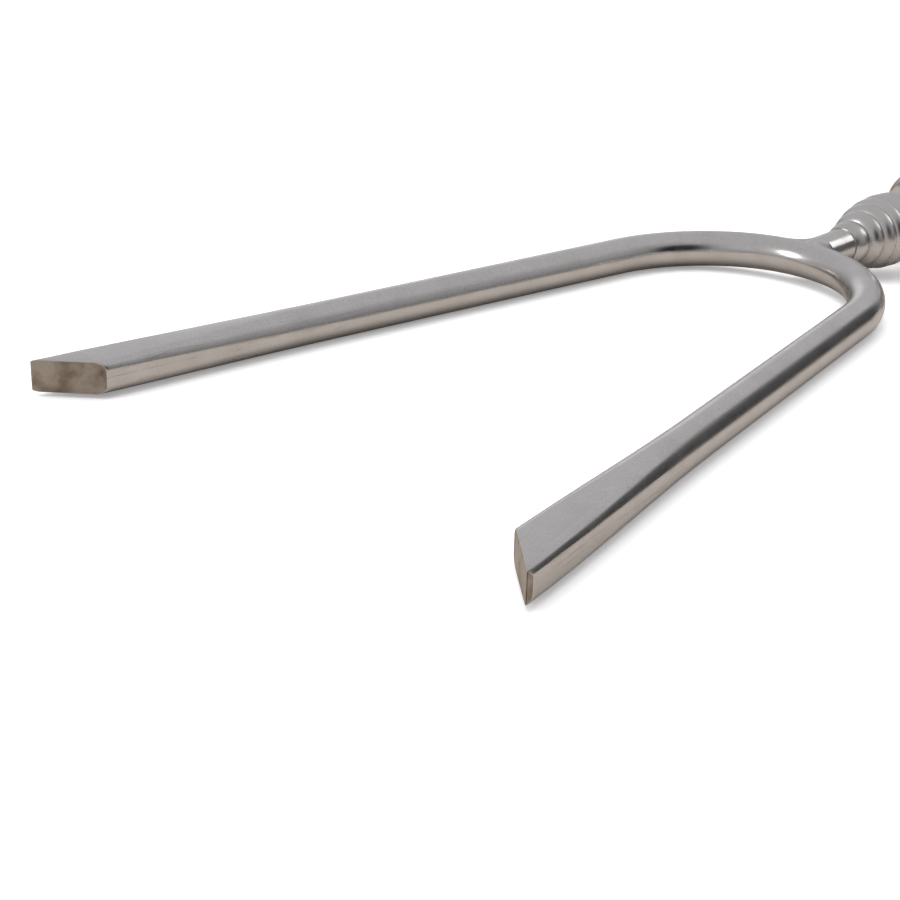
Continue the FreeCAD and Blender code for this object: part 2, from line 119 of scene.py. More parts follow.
class HandleSettings(bpy.types.PropertyGroup):
    """Sizes of the turned pieces that the frame's boxes don't give."""
    ring_pitch: length("Ring Pitch", "Spacing of the ferrule's rings", 0.97 * MM)
    first_ring: length("First Ring", "Crest of the first ring, from the ferrule's front", 0.73 * MM)
    ring_droop: bpy.props.FloatProperty(name="Ring Droop", description="Fall of the crests per metre squared",
                                        default=66.0)
    groove_depth: length("Groove Depth", "Depth of the grooves between rings", 0.20 * MM)
    swell_place: length("Swell", "Thickest place of the barrel, from its front", 27 * MM)
    barrel_front: length("Barrel Front", "Radius of the barrel's front", 2.35 * MM)
    barrel_rear: length("Barrel Rear", "Radius of the barrel's rear", 3.7 * MM)
    barrel_bore: length("Barrel Bore", "Radius of the hole through the barrel", 1.5 * MM)
    bush_bore: length("Bush Bore", "Radius of the bushes' seats at the bore's two ends", 1.9 * MM)
    bush_length: length("Bush Length", "Depth of each bush's seat", 4 * MM)
    nut_pocket: length("Nut Pocket", "Radius of the nut's pocket and of the spigot that closes it", 2.7 * MM)
    nut_pocket_depth: length("Nut Pocket Depth", "Depth of the pocket for the nut", 9 * MM)
    band_pitch: length("Band Pitch", "Spacing of the grooves turned into the barrel", 0.9 * MM)
    butt_neck: length("Butt Neck", "Radius of the butt cap's neck", 3.5 * MM)
    butt_rim: length("Butt Rim", "Width of the butt cap's rim", 2.0 * MM)
    rim_round: length("Rim Round", "Rounding of the butt cap's edges", 0.35 * MM)
    seat_radius: length("Seat Radius", "Radius of the marker's seat", 9.3 * MM)
    spigot_length: length("Spigot", "Length of the spigot inside the barrel", 3.4 * MM)


class FinishSettings(bpy.types.PropertyGroup):
    """Colours of the finishes."""
    steel: tint("Steel", "Polished stainless steel", "#CFCDCC")
    worn_steel: tint("Worn Steel", "Duller patches of the same steel", "#BBB8B6")
    sheared: tint("Sheared Steel", "Torn face of the sheared ends", "#AAA196")
    stain: tint("Stain", "Brown stain in the torn face", "#6E5C4E")
    nickel: tint("Nickel", "Nickel plate on the magnet", "#D2CDC2")
    zinc: tint("Zinc", "Zinc plate on the nut and washers", "#C3C7CC")
    nylon: tint("Nylon", "Moulded nylon bushes", "#E4E0D4")
    enamel: tint("Enamel", "Enamel of the ball marker", "#14402B")


class StudioSettings(bpy.types.PropertyGroup):
    """Camera, light and floor."""
    eye_x: length("Camera X", "Camera's place across, from the crown", 53.40 * MM)
    eye_y: length("Camera Y", "Camera's place along, from the crown", -89.41 * MM)
    eye_z: length("Camera Z", "Camera's height over the fork's plane", 31.58 * MM)
    aim_x: length("Aim X", "Aimed-at place across, from the crown", 4.40 * MM)
    aim_y: length("Aim Y", "Aimed-at place along, from the crown", -34.53 * MM)
    roll: turn("Roll", "Camera's roll", 1.59)
    lens: bpy.props.FloatProperty(name="Lens", description="Focal length", default=75.26, unit="CAMERA")
    floor: tint("Floor", "White paper sweep", "#F4F4F4")


# ----------------------------------------------------------------------
# Finishes
# ----------------------------------------------------------------------
def add_node(tree, kind, inputs=(), **settings):
    """Add a node, with its settings and its inputs, each a value or another node's output."""
    node = tree.nodes.new(kind)
    for name, setting in settings.items():
        setattr(node, name, setting)
    for name, source in dict(inputs).items():
        if isinstance(source, bpy.types.NodeSocket):
            tree.links.new(source, node.inputs[name])
        else:
            node.inputs[name].default_value = source
    return node


def new_finish(name, **shader_values):
    """A material holding one Principled shader with the given values on its sockets."""
    finish = bpy.data.materials.new(name)
    finish.use_nodes = True
    tree = finish.node_tree
    tree.nodes.clear()
    shader = add_node(tree, "ShaderNodeBsdfPrincipled",
                      {key.replace("_", " "): number for key, number in shader_values.items()})
    output = add_node(tree, "ShaderNodeOutputMaterial")
    tree.links.new(shader.outputs["BSDF"], output.inputs["Surface"])
    return finish, tree, shader


def opaque(colour):
    return (*colour, 1.0)


# A Mix node keeps its number, vector and colour sockets side by side; these are the colour ones.
MIX_FROM, MIX_TO, MIX_RESULT = 6, 7, 2


def mixed(tree, share, first, second):
    """A colour that goes from the first to the second as the share goes from 0 to 1."""
    return add_node(tree, "ShaderNodeMix", {"Factor": share, MIX_FROM: first, MIX_TO: second},
                    data_type="RGBA").outputs[MIX_RESULT]


def cloudy(tree, place, scale, detail, roughness=0.5, distortion=0.0):
    """A number that varies softly from place to place, its scale in features to a unit of length."""
    return add_node(tree, "ShaderNodeTexNoise",
                    {"Vector": place, "Scale": scale, "Detail": detail, "Roughness": roughness,
                     "Distortion": distortion}).outputs["Fac"]


def scaled(tree, vector, factors):
    """A place or a colour multiplied by a factor on each axis."""
    return add_node(tree, "ShaderNodeVectorMath", {0: vector, 1: factors}, operation="MULTIPLY").outputs[0]


def carried(tree, value, start, end, **settings):
    """A number carried from its start range onto its end range, and held within that."""
    return add_node(tree, "ShaderNodeMapRange",
                    {"Value": value, "From Min": start[0], "From Max": start[1], "To Min": end[0],
                     "To Max": end[1]}, **settings).outputs["Result"]


def reckoned(tree, operation, *numbers):
    """The result of an operation on numbers, each a value or another node's output."""
    return add_node(tree, "ShaderNodeMath", dict(enumerate(numbers)), operation=operation).outputs["Value"]


def set_surface(tree, shader, colour, dullness, height=None, strength=0.0, depth=0.0):
    """Link a shader's colour and roughness, and its relief from a height that is so many mm deep."""
    tree.links.new(dullness, shader.inputs["Roughness"])
    if colour is not None:
        tree.links.new(colour, shader.inputs["Base Color"])
    if height is not None:
        bump = add_node(tree, "ShaderNodeBump",
                        {"Height": height, "Strength": strength, "Distance": depth * MM})
        tree.links.new(bump.outputs["Normal"], shader.inputs["Normal"])


def drawn_steel(colours):
    """Stainless rod drawn through a die and polished: bright, with faint lines along the rod, cloudy patches
    where the polish is thinner, and a few short scratches. The pressed ends carry brown streaks, mostly on
    their flanks. It reads the unbent rod, in millimetres, so its lines follow the bend."""
    finish, tree, shader = new_finish("Drawn Stainless Steel Rod", Metallic=1.0)
    rod = add_node(tree, "ShaderNodeAttribute", attribute_name="unbent",
                   attribute_type="GEOMETRY").outputs["Vector"]
    draw_lines = cloudy(tree, scaled(tree, rod, (0.12, 9.0, 9.0)), scale=1.0, detail=4.0, roughness=0.7)
    clouds = cloudy(tree, rod, scale=0.55, detail=5.0, roughness=0.6)
    thin_polish = carried(tree, clouds, (0.35, 0.7), (0.14, 0.23))
    dullness = reckoned(tree, "MULTIPLY_ADD", draw_lines, 0.08, thin_polish)

    cells = add_node(tree, "ShaderNodeTexVoronoi",
                     {"Vector": scaled(tree, rod, (0.9, 2.4, 2.4)), "Scale": 1.3})
    nicks = carried(tree, cells.outputs["Distance"], (0.03, 0.09), (1.0, 0.0))
    steel = mixed(tree, clouds, opaque(colours.steel), opaque(colours.worn_steel))
    nicked = mixed(tree, reckoned(tree, "MULTIPLY", nicks, 0.35), steel, opaque(colours.stain))

    streaks = cloudy(tree, scaled(tree, rod, (0.30, 3.2, 6.5)), scale=1.0, detail=5.0, roughness=0.6,
                     distortion=0.4)
    streak_share = carried(tree, streaks, (0.56, 0.66), (0.0, 0.45))
    along = add_node(tree, "ShaderNodeSeparateXYZ", {"Vector": rod})
    pressed = carried(tree, along.outputs["X"], (24.0, 40.0), (0.0, 1.0))
    flank = carried(tree, along.outputs["Z"], (0.74, 0.45), (0.15, 1.0))
    stained = reckoned(tree, "MULTIPLY", reckoned(tree, "MULTIPLY", pressed, flank), streak_share)
    streaked = mixed(tree, stained, nicked, opaque(colours.stain))
    grain = cloudy(tree, rod, scale=11.0, detail=3.0, roughness=0.7)
    colour = scaled(tree, streaked, carried(tree, grain, (0.3, 0.7), (0.91, 1.06)))
    relief = reckoned(tree, "MULTIPLY_ADD", nicks, -0.6, draw_lines)
    set_surface(tree, shader, colour, dullness, relief, strength=0.10, depth=0.03)
    return finish


def sheared_steel(colours):
    """The torn face that a shear leaves on steel: dull, pitted and stained brown."""
    finish, tree, shader = new_finish("Sheared Stainless Steel", Metallic=1.0)
    place = add_node(tree, "ShaderNodeTexCoord").outputs["Object"]
    tear = cloudy(tree, place, scale=700.0, detail=5.0, roughness=0.55)
    pits = cloudy(tree, place, scale=4200.0, detail=3.0)
    stained = carried(tree, tear, (0.42, 0.68), (0.0, 1.0))
    colour = mixed(tree, stained, opaque(colours.sheared), opaque(colours.stain))
    dullness = carried(tree, pits, (0.0, 1.0), (0.32, 0.62))
    relief = reckoned(tree, "MULTIPLY_ADD", pits, 0.5, tear)
    set_surface(tree, shader, colour, dullness, relief, strength=0.6, depth=0.08)
    return finish


# Each finish off the lathe: its least roughness, and the spacing of its tool lines in millimetres.
TURNED_FINISHES = {"Turned Stainless Steel": (0.24, 0.06), "Polished Stainless Steel": (0.07, 0.05),
                   "Satin Turned Steel": (0.22, 0.09)}


def turned_steel(name, colours):
    """Stainless steel off a lathe: fine rings round the handle's axis, softened by polishing, so highlights
    spread a little along the axis."""
    dull, line_pitch = TURNED_FINISHES[name]
    finish, tree, shader = new_finish(name, Metallic=1.0)
    place = add_node(tree, "ShaderNodeTexCoord").outputs["Object"]
    rings = scaled(tree, place, (20.0, 1 / (line_pitch * MM), 20.0))
    tool_lines = cloudy(tree, rings, scale=1.0, detail=2.0, roughness=0.6)
    clouds = cloudy(tree, place, scale=420.0, detail=5.0)
    dullness = carried(tree, clouds, (0.3, 0.7), (dull, dull + 0.08))
    colour = mixed(tree, clouds, opaque(colours.steel), opaque(colours.worn_steel))
    set_surface(tree, shader, colour, dullness, tool_lines, strength=0.15, depth=0.02)
    return finish


def plated_steel(name, colour, dull, grain):
    """A plated metal: its colour from the plate, with a faint grain of a given size in millimetres."""
    finish, tree, shader = new_finish(name, Metallic=1.0, Base_Color=opaque(colour))
    place = add_node(tree, "ShaderNodeTexCoord").outputs["Object"]
    cells = cloudy(tree, place, scale=1 / (grain * MM), detail=4.0)
    dullness = carried(tree, cells, (0.0, 1.0), (dull, dull + 0.15))
    set_surface(tree, shader, None, dullness, cells, strength=0.1, depth=0.02)
    return finish


def moulded_nylon(colours):
    """Natural nylon from a mould: milky and slightly see-through, with a soft sheen."""
    finish, tree, shader = new_finish("Moulded Nylon", Base_Color=opaque(colours.nylon),
                                      Subsurface_Weight=0.2, Subsurface_Scale=1 * MM, IOR=1.53)
    place = add_node(tree, "ShaderNodeTexCoord").outputs["Object"]
    skin = cloudy(tree, place, scale=3000.0, detail=3.0)
    set_surface(tree, shader, None, carried(tree, skin, (0.0, 1.0), (0.35, 0.5)))
    return finish


def cured_enamel(colours):
    """Soft enamel poured into the marker and cured: deep green, glossy, with a slight orange peel."""
    finish, tree, shader = new_finish("Cured Green Enamel", IOR=1.5, Coat_Weight=0.6, Coat_Roughness=0.05)
    place = add_node(tree, "ShaderNodeTexCoord").outputs["Object"]
    depth = cloudy(tree, place, scale=500.0, detail=4.0)
    deep = opaque(tuple(0.6 * part for part in colours.enamel))
    colour = mixed(tree, depth, opaque(colours.enamel), deep)
    dullness = carried(tree, depth, (0.0, 1.0), (0.08, 0.2))
    set_surface(tree, shader, colour, dullness, depth, strength=0.05, depth=0.05)
    return finish


def rod_finish(colours):
    """The drawn rod's finish, made the first time it is asked for."""
    return bpy.data.materials.get("Drawn Stainless Steel Rod") or drawn_steel(colours)


def turned_finish(name, colours):
    """A finish off the lathe, made the first time it is asked for."""
    return bpy.data.materials.get(name) or turned_steel(name, colours)


# ----------------------------------------------------------------------
# Shapes
# ----------------------------------------------------------------------
LIT_FROM_BEHIND = "lit_from_behind"  # the pieces that the rear softbox lights
UNLIT_NODES = {"fork_rod", "braze_webs"}
SHARP_EDGE = math.radians(35)
RADIAL_STEPS = 160  # steps round a turned piece
FINE_RADIAL_STEPS = 192  # steps round the widest ones
EDGE_ROUND = 0.3  # how far a round edge stands out from its chord, as a share of its size


def place_piece(bm, name, node, body, finishes):
    """Turn a bmesh into a piece that stands for a CAD node and rides on its body."""
    bmesh.ops.recalc_face_normals(bm, faces=bm.faces)
    mesh = bpy.data.meshes.new(name)
    bm.to_mesh(mesh)
    bm.free()
    mesh.polygons.foreach_set("use_smooth", [True] * len(mesh.polygons))
    mesh.set_sharp_from_angle(angle=SHARP_EDGE)
    for finish in finishes:
        mesh.materials.append(finish)
    piece = bpy.data.objects.new(name, mesh)
    bpy.context.scene.collection.objects.link(piece)
    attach(piece, body)
    if node:
        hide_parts(node)
    if node not in UNLIT_NODES:
        bpy.data.collections[LIT_FROM_BEHIND].objects.link(piece)


def arc(start, end, bulge, steps):
    """Points after start up to end, on an arc that stands out from the chord by bulge, to its right."""
    (x0, y0), (x1, y1) = start, end
    chord = math.hypot(x1 - x0, y1 - y0)
    radius = (chord ** 2 / 4 + bulge ** 2) / (2 * abs(bulge))
    half = math.asin(min(1.0, chord / 2 / radius))
    side = math.copysign(1, bulge)
    across = ((y1 - y0) / chord * side, -(x1 - x0) / chord * side)
    along = ((x1 - x0) / chord, (y1 - y0) / chord)
    middle = ((x0 + x1) / 2, (y0 + y1) / 2)
    points = []
    for step in range(1, steps + 1):
        angle = -half + 2 * half * step / steps
        lift = radius * (math.cos(angle) - math.cos(half))
        run = radius * math.sin(angle)
        points.append((middle[0] + along[0] * run + across[0] * lift,
                       middle[1] + along[1] * run + across[1] * lift))
    return points


def turn_profile(profile, segments):
    """Spin an outline of (radius, place along the axis) about the handle's axis."""
    bm = bmesh.new()
    points = [bm.verts.new((radius, place, 0)) for radius, place in profile]
    closed = profile[0][0] > 0
    pairs = list(zip(points, points[1:])) + ([(points[-1], points[0])] if closed else [])
    edges = [bm.edges.new(pair) for pair in pairs]
    bmesh.ops.spin(bm, geom=points + edges, cent=(0, 0, 0), axis=(0, 1, 0), angle=math.tau, steps=segments,
                   use_merge=True)
    bmesh.ops.remove_doubles(bm, verts=bm.verts, dist=SAME_PLACE)
    return bm


def smooth_rise(share):
    """0 to 1 with level ends."""
    share = min(1.0, max(0.0, share))
    return share * share * (3 - 2 * share)


class Bend:
    """The fork's centreline: the middle of the bend, a shoulder and a straight prong, on the +X side."""

    def __init__(self, sizes):
        self.crown_radius = sizes.crown_radius
        self.crown_angle = sizes.crown_angle
        self.shoulder_radius = sizes.shoulder_radius
        self.end_angle = math.radians(90) - sizes.splay
        self.crown_centre = Vector((0, CROWN_PLACE - sizes.crown_radius, 0))
        shift = sizes.crown_radius - sizes.shoulder_radius
        self.shoulder_centre = self.crown_centre + shift * self.outward(self.crown_angle)
        self.prong_start = self.shoulder_centre + self.shoulder_radius * self.outward(self.end_angle)
        self.prong_direction = Vector((math.sin(sizes.splay), -math.cos(sizes.splay), 0))
        self.prong_across = Vector((math.cos(sizes.splay), math.sin(sizes.splay), 0))
        self.bend_length = (self.crown_radius * self.crown_angle
                            + self.shoulder_radius * (self.end_angle - self.crown_angle))

    @staticmethod
    def outward(angle):
        """Direction from the centre of a bend, an angle round from the handle's axis."""
        return Vector((math.sin(angle), math.cos(angle), 0))

    def unbent(self, point):
        """Where a point would be on the straight rod: along it from the crown, outwards, and up."""
        side = Vector((abs(point.x), point.y, 0))
        from_crown = side - self.crown_centre
        from_shoulder = side - self.shoulder_centre
        crown_turn = math.atan2(from_crown.x, from_crown.y)
        shoulder_turn = math.atan2(from_shoulder.x, from_shoulder.y)
        if (side - self.prong_start).dot(self.prong_direction) > 0:
            reach = side - self.prong_start
            return Vector((self.bend_length + reach.dot(self.prong_direction),
                           reach.dot(self.prong_across), point.z))
        if crown_turn <= self.crown_angle:
            return Vector((crown_turn * self.crown_radius, from_crown.length - self.crown_radius, point.z))
        along = (self.crown_radius * self.crown_angle
                 + self.shoulder_radius * (shoulder_turn - self.crown_angle))
        return Vector((along, from_shoulder.length - self.shoulder_radius, point.z))


def store_unbent(bm, unbend):
    """Keep each vertex's place on the straight rod, in millimetres, for the drawn steel's lines."""
    layer = bm.verts.layers.float_vector.new("unbent")
    for vert in bm.verts:
        vert[layer] = unbend(vert.co) / MM


ROD_SEGMENTS = 72
CROWN_STEPS = 40
SHOULDER_STEPS = 44
PRONG_STEP = 0.4 * MM


def bend_rod(bm, bend, straight_length):
    """Spin a ring of the rod round the bend and extrude it down the prong."""
    # Half a step's turn keeps the ring's points off the press's axes.
    half_step = Matrix.Rotation(math.pi / ROD_SEGMENTS, 4, "X")
    upright = Matrix.Translation((0, CROWN_PLACE, 0)) @ half_step @ Matrix.Rotation(math.radians(90), 4, "Y")
    ring = bmesh.ops.create_circle(bm, cap_ends=False, segments=ROD_SEGMENTS, radius=ROD_RADIUS,
                                   matrix=upright)["verts"]
    geometry = ring + list({edge for vert in ring for edge in vert.link_edges})
    turns = ((bend.crown_centre, bend.crown_angle, CROWN_STEPS),
             (bend.shoulder_centre, bend.end_angle - bend.crown_angle, SHOULDER_STEPS))
    for centre, angle, steps in turns:
        geometry = bmesh.ops.spin(bm, geom=geometry, cent=centre, axis=(0, 0, 1), angle=-angle,
                                  steps=steps)["geom_last"]
    steps = round(straight_length / PRONG_STEP)
    for _ in range(steps):
        edges = [item for item in geometry if isinstance(item, bmesh.types.BMEdge)]
        geometry = bmesh.ops.extrude_edge_only(bm, edges=edges)["geom"]
        verts = [item for item in geometry if isinstance(item, bmesh.types.BMVert)]
        bmesh.ops.translate(bm, verts=verts, vec=bend.prong_direction * straight_length / steps)
        geometry = [item for item in geometry if not isinstance(item, bmesh.types.BMFace)]


DIE_RIPPLE = 0.012 * MM
RIPPLE_LENGTH, RIPPLE_WIDTH, RIPPLE_HEIGHT = 2.2 * MM, 0.9 * MM, 3 * MM


def press_prong(bm, bend, sizes):
    """Press the prong's end into an oblong with round corners, with soft unevenness from the die."""
    for vert in bm.verts:
        along, across, up = bend.unbent(vert.co)
        down_prong = along - bend.bend_length
        pressed = smooth_rise((down_prong - sizes.press_start) / (sizes.press_end - sizes.press_start))
        if pressed == 0:
            continue
        corner = ROD_RADIUS + (sizes.pressed_corner - ROD_RADIUS) * pressed
        wider = (sizes.pressed_width - sizes.pressed_corner) * pressed
        higher = (sizes.pressed_height - sizes.pressed_corner) * pressed
        new_across = across / ROD_RADIUS * corner + math.copysign(wider, across)
        new_up = up / ROD_RADIUS * corner + math.copysign(higher, up)
        ripple = noise.noise(Vector((along / RIPPLE_LENGTH, across / RIPPLE_WIDTH, up / RIPPLE_HEIGHT)))
        new_up += DIE_RIPPLE * ripple * pressed
        vert.co += bend.prong_across * (new_across - across)
        vert.co.z = new_up


TORN_FACE = 1  # the torn face's place among the fork's materials
ON_PLANE = 1e-8


def cut_across(bm, side, place, facing):
    """Cut one side's prong through a place, close the cut with the torn face's slot."""
    near = [item for item in bm.verts if item.co.x * side > 0]
    edges = [item for item in bm.edges if all(vert.co.x * side > 0 for vert in item.verts)]
    faces = [item for item in bm.faces if all(vert.co.x * side > 0 for vert in item.verts)]
    bmesh.ops.bisect_plane(bm, geom=near + edges + faces, dist=ON_PLANE, plane_co=place, plane_no=facing,
                           clear_outer=True)
    rim = [edge for edge in bm.edges
           if edge.is_boundary
           and all(abs((vert.co - place).dot(facing)) < SAME_PLACE for vert in edge.verts)]
    bmesh.ops.edgeloop_fill(bm, edges=rim, mat_nr=TORN_FACE, use_smooth=False)


CHIP_LEAN = 1.6  # how much more the chip faces outwards than the shear does
CHIP_INSET = 0.24 * MM
SHEAR_REACH = 1.2  # rod radii from the prong's middle to where the outer place is taken
SHEAR_SOFTENING = 0.035 * MM


def shear_prong(bm, bend, side, inner_place, outer_place):
    """Cut one prong off obliquely, knock the chip off its outer corner and soften the edges."""
    flip = Vector((side, 1, 1))
    along, across, start = bend.prong_direction * flip, bend.prong_across * flip, bend.prong_start * flip
    inner = start + along * inner_place - across * ROD_RADIUS
    outer = start + along * outer_place + across * SHEAR_REACH * ROD_RADIUS
    cut = (outer - inner).normalized()
    facing = (along - cut * along.dot(cut)).normalized()
    cut_across(bm, side, inner, facing)
    cut_across(bm, side, outer - across * CHIP_INSET, (facing + CHIP_LEAN * across).normalized())
    edges = [edge for edge in bm.edges if edge.verts[0].co.x * side > 0
             and any(face.material_index == TORN_FACE for face in edge.link_faces)]
    bmesh.ops.bevel(bm, geom=edges, offset=SHEAR_SOFTENING, offset_type="OFFSET", segments=2, profile=0.5,
                    affect="EDGES", material=0)


class DIVOT_OT_fork(bpy.types.Operator):
    """Bend the fork from round rod, press its prongs flat and shear them off."""
    bl_idname = "divot.fork"
    bl_label = "Bent Rod Fork"

    def execute(self, context):
        sizes = context.scene.divot_fork
        colours = context.scene.divot_finish
        bend = Bend(sizes)
        bm = bmesh.new()
        bend_rod(bm, bend, sizes.shear_outer + 3 * ROD_RADIUS)
        press_prong(bm, bend, sizes)
        bmesh.ops.mirror(bm, geom=bm.verts[:] + bm.edges[:] + bm.faces[:], matrix=Matrix.Identity(4),
                         merge_dist=SAME_PLACE, axis="X")
        shear_prong(bm, bend, 1, sizes.shear_inner, sizes.shear_outer)
        shear_prong(bm, bend, -1, sizes.shear_inner + sizes.shear_uneven, sizes.shear_outer)
        store_unbent(bm, bend.unbent)
        place_piece(bm, "bent_fork", "fork_rod", "tool",
                    [rod_finish(colours), sheared_steel(colours)])
        return {"FINISHED"}


THREAD_PITCH = 0.4 * MM
THREAD_LENGTH = 7.2 * MM
THREAD_DEPTH = 0.12 * MM
STEM_STEPS = 60  # steps along the stem's plain length
STEM_CHAMFER = 0.25 * MM
WEB_STEPS = 30
WEB_THINNESS = 0.995  # each web's radius as a share of the rod's, so that their skins stay apart


class DIVOT_OT_stem(bpy.types.Operator):
    """Turn the stem, with the thread at its far end, and lay the braze webs in the corners by the crown."""
    bl_idname = "divot.stem"
    bl_label = "Stem and Braze Webs"

    def execute(self, context):
        sizes = context.scene.divot_fork
        rod = rod_finish(context.scene.divot_finish)
        profile = [(0, STEM_LOW.y), (ROD_RADIUS, STEM_LOW.y)]
        plain = STEM_HIGH.y - STEM_LOW.y - THREAD_LENGTH
        profile += [(ROD_RADIUS, STEM_LOW.y + plain * step / STEM_STEPS) for step in range(1, STEM_STEPS + 1)]
        for turn_number in range(round(THREAD_LENGTH / THREAD_PITCH) - 1):
            start = STEM_LOW.y + plain + turn_number * THREAD_PITCH
            profile += [(ROD_RADIUS - THREAD_DEPTH, start + THREAD_PITCH / 2),
                        (ROD_RADIUS, start + THREAD_PITCH)]
        profile += [(ROD_RADIUS - STEM_CHAMFER, STEM_HIGH.y), (0, STEM_HIGH.y)]
        bm = turn_profile(profile, ROD_SEGMENTS)
        store_unbent(bm, lambda point: Vector((point.y - CROWN_PLACE, point.x, point.z)))
        place_piece(bm, "stem", "stem_rod", "tool", [rod])

        radius = sizes.web_radius
        from_crown = math.sqrt(sizes.crown_radius ** 2 + 2 * sizes.crown_radius * radius)
        centre = Vector((radius, CROWN_PLACE + from_crown - sizes.crown_radius, 0))
        sweep = math.atan2(from_crown, radius)
        bm = bmesh.new()
        facing = Matrix.Translation((0, centre.y, 0)) @ Matrix.Rotation(math.radians(90), 4, "X")
        ring = bmesh.ops.create_circle(bm, cap_ends=False, segments=ROD_SEGMENTS,
                                       radius=ROD_RADIUS * WEB_THINNESS, matrix=facing)["verts"]
        edges = list({edge for vert in ring for edge in vert.link_edges})
        last = bmesh.ops.spin(bm, geom=ring + edges, cent=centre, axis=(0, 0, 1), angle=sweep,
                              steps=WEB_STEPS)["geom_last"]
        last_edges = [item for item in last if isinstance(item, bmesh.types.BMEdge)]
        for rim in (edges, last_edges):
            bmesh.ops.edgeloop_fill(bm, edges=rim)
        bmesh.ops.mirror(bm, geom=bm.verts[:] + bm.edges[:] + bm.faces[:], matrix=Matrix.Identity(4),
                         merge_dist=-1, axis="X")
        store_unbent(bm, lambda point: Vector((point.y - CROWN_PLACE, point.x, point.z)))
        place_piece(bm, "braze_corners", "braze_webs", "tool", [rod])
        return {"FINISHED"}


RING_COUNT = 9
RING_STEPS = 14
RING_BULGE = 0.21 * MM  # how far each ring's round stands out from the grooves beside it
FIRST_RING_BULGE = 0.13 * MM
FRONT_LAND = 0.05 * MM  # width of the flat face in front of the first ring
REAR_LAND = 0.3 * MM


def crest_radius(place, sizes):
    """Radius over the ferrule's rings, a distance from its front."""
    largest = sizes.first_ring + sizes.ring_pitch * (RING_COUNT - 1) / 2
    return FERRULE_HIGH.x - sizes.ring_droop * (place - largest) ** 2


class DIVOT_OT_ferrule(bpy.types.Operator):
    """Turn the ringed ferrule behind the stem."""
    bl_idname = "divot.ferrule"
    bl_label = "Ringed Ferrule"

    def execute(self, context):
        sizes = context.scene.divot_handle
        front = FERRULE_LOW.y
        profile = [(ROD_RADIUS, front), (ROD_RADIUS + FRONT_LAND, front)]
        valleys = []
        for number in range(1, RING_COUNT + 1):
            place = sizes.first_ring + sizes.ring_pitch * (number - 0.5)
            valleys.append((crest_radius(place, sizes) - sizes.groove_depth, front + place))
        for valley, bulge in zip(valleys, [FIRST_RING_BULGE] + [RING_BULGE] * (RING_COUNT - 1)):
            profile += arc(profile[-1], valley, bulge, RING_STEPS)
        profile += [(ROD_RADIUS + REAR_LAND, FERRULE_HIGH.y), (ROD_RADIUS, FERRULE_HIGH.y)]
        finish = turned_finish("Turned Stainless Steel", context.scene.divot_finish)
        place_piece(turn_profile(profile, RADIAL_STEPS), "ferrule", "ringed_ferrule", "tool",
                    [finish])
        return {"FINISHED"}


COLLAR_STEPS = 18


def add_collar(context, name, node, low, high, bore):
    """A ring with a full round, highly polished rim."""
    bulge = EDGE_ROUND * (high.y - low.y)
    shoulder = high.x - bulge
    profile = [(bore, low.y), (shoulder, low.y)]
    profile += arc((shoulder, low.y), (shoulder, high.y), bulge, COLLAR_STEPS)
    profile += [(bore, high.y)]
    finish = turned_finish("Polished Stainless Steel", context.scene.divot_finish)
    place_piece(turn_profile(profile, RADIAL_STEPS), name, node, "tool", [finish])


class DIVOT_OT_collars(bpy.types.Operator):
    """Turn the polished collars at the barrel's two ends."""
    bl_idname = "divot.collars"
    bl_label = "Polished Collars"

    def execute(self, context):
        add_collar(context, "polished_front_collar", "front_collar", FRONT_COLLAR_LOW, FRONT_COLLAR_HIGH,
                   ROD_RADIUS)
        add_collar(context, "polished_rear_collar", "rear_collar", REAR_COLLAR_LOW, REAR_COLLAR_HIGH,
                   context.scene.divot_handle.nut_pocket)
        return {"FINISHED"}


# Each band of grooves: its first groove's distance from the barrel's front in mm, and how many it has.
BANDS = ((5.0, 3), (20.0, 5), (37.0, 3))
BAND_HALF = 0.24 * MM  # half a groove's width
BAND_DEPTH = 0.16 * MM
BAND_STEPS = 8
BAND_GAP = 0.01 * MM  # least distance from a groove to the outline's next point
BARREL_CHAMFER = 0.12 * MM
BARREL_STEP = 0.7 * MM


def barrel_radius(place, sizes):
    """Outside radius of the barrel, a distance from its front."""
    total = BARREL_HIGH.y - BARREL_LOW.y
    if place < sizes.swell_place:
        share, end = (sizes.swell_place - place) / sizes.swell_place, sizes.barrel_front
    else:
        share, end = (place - sizes.swell_place) / (total - sizes.swell_place), sizes.barrel_rear
    return BARREL_HIGH.x - (BARREL_HIGH.x - end) * share ** 2


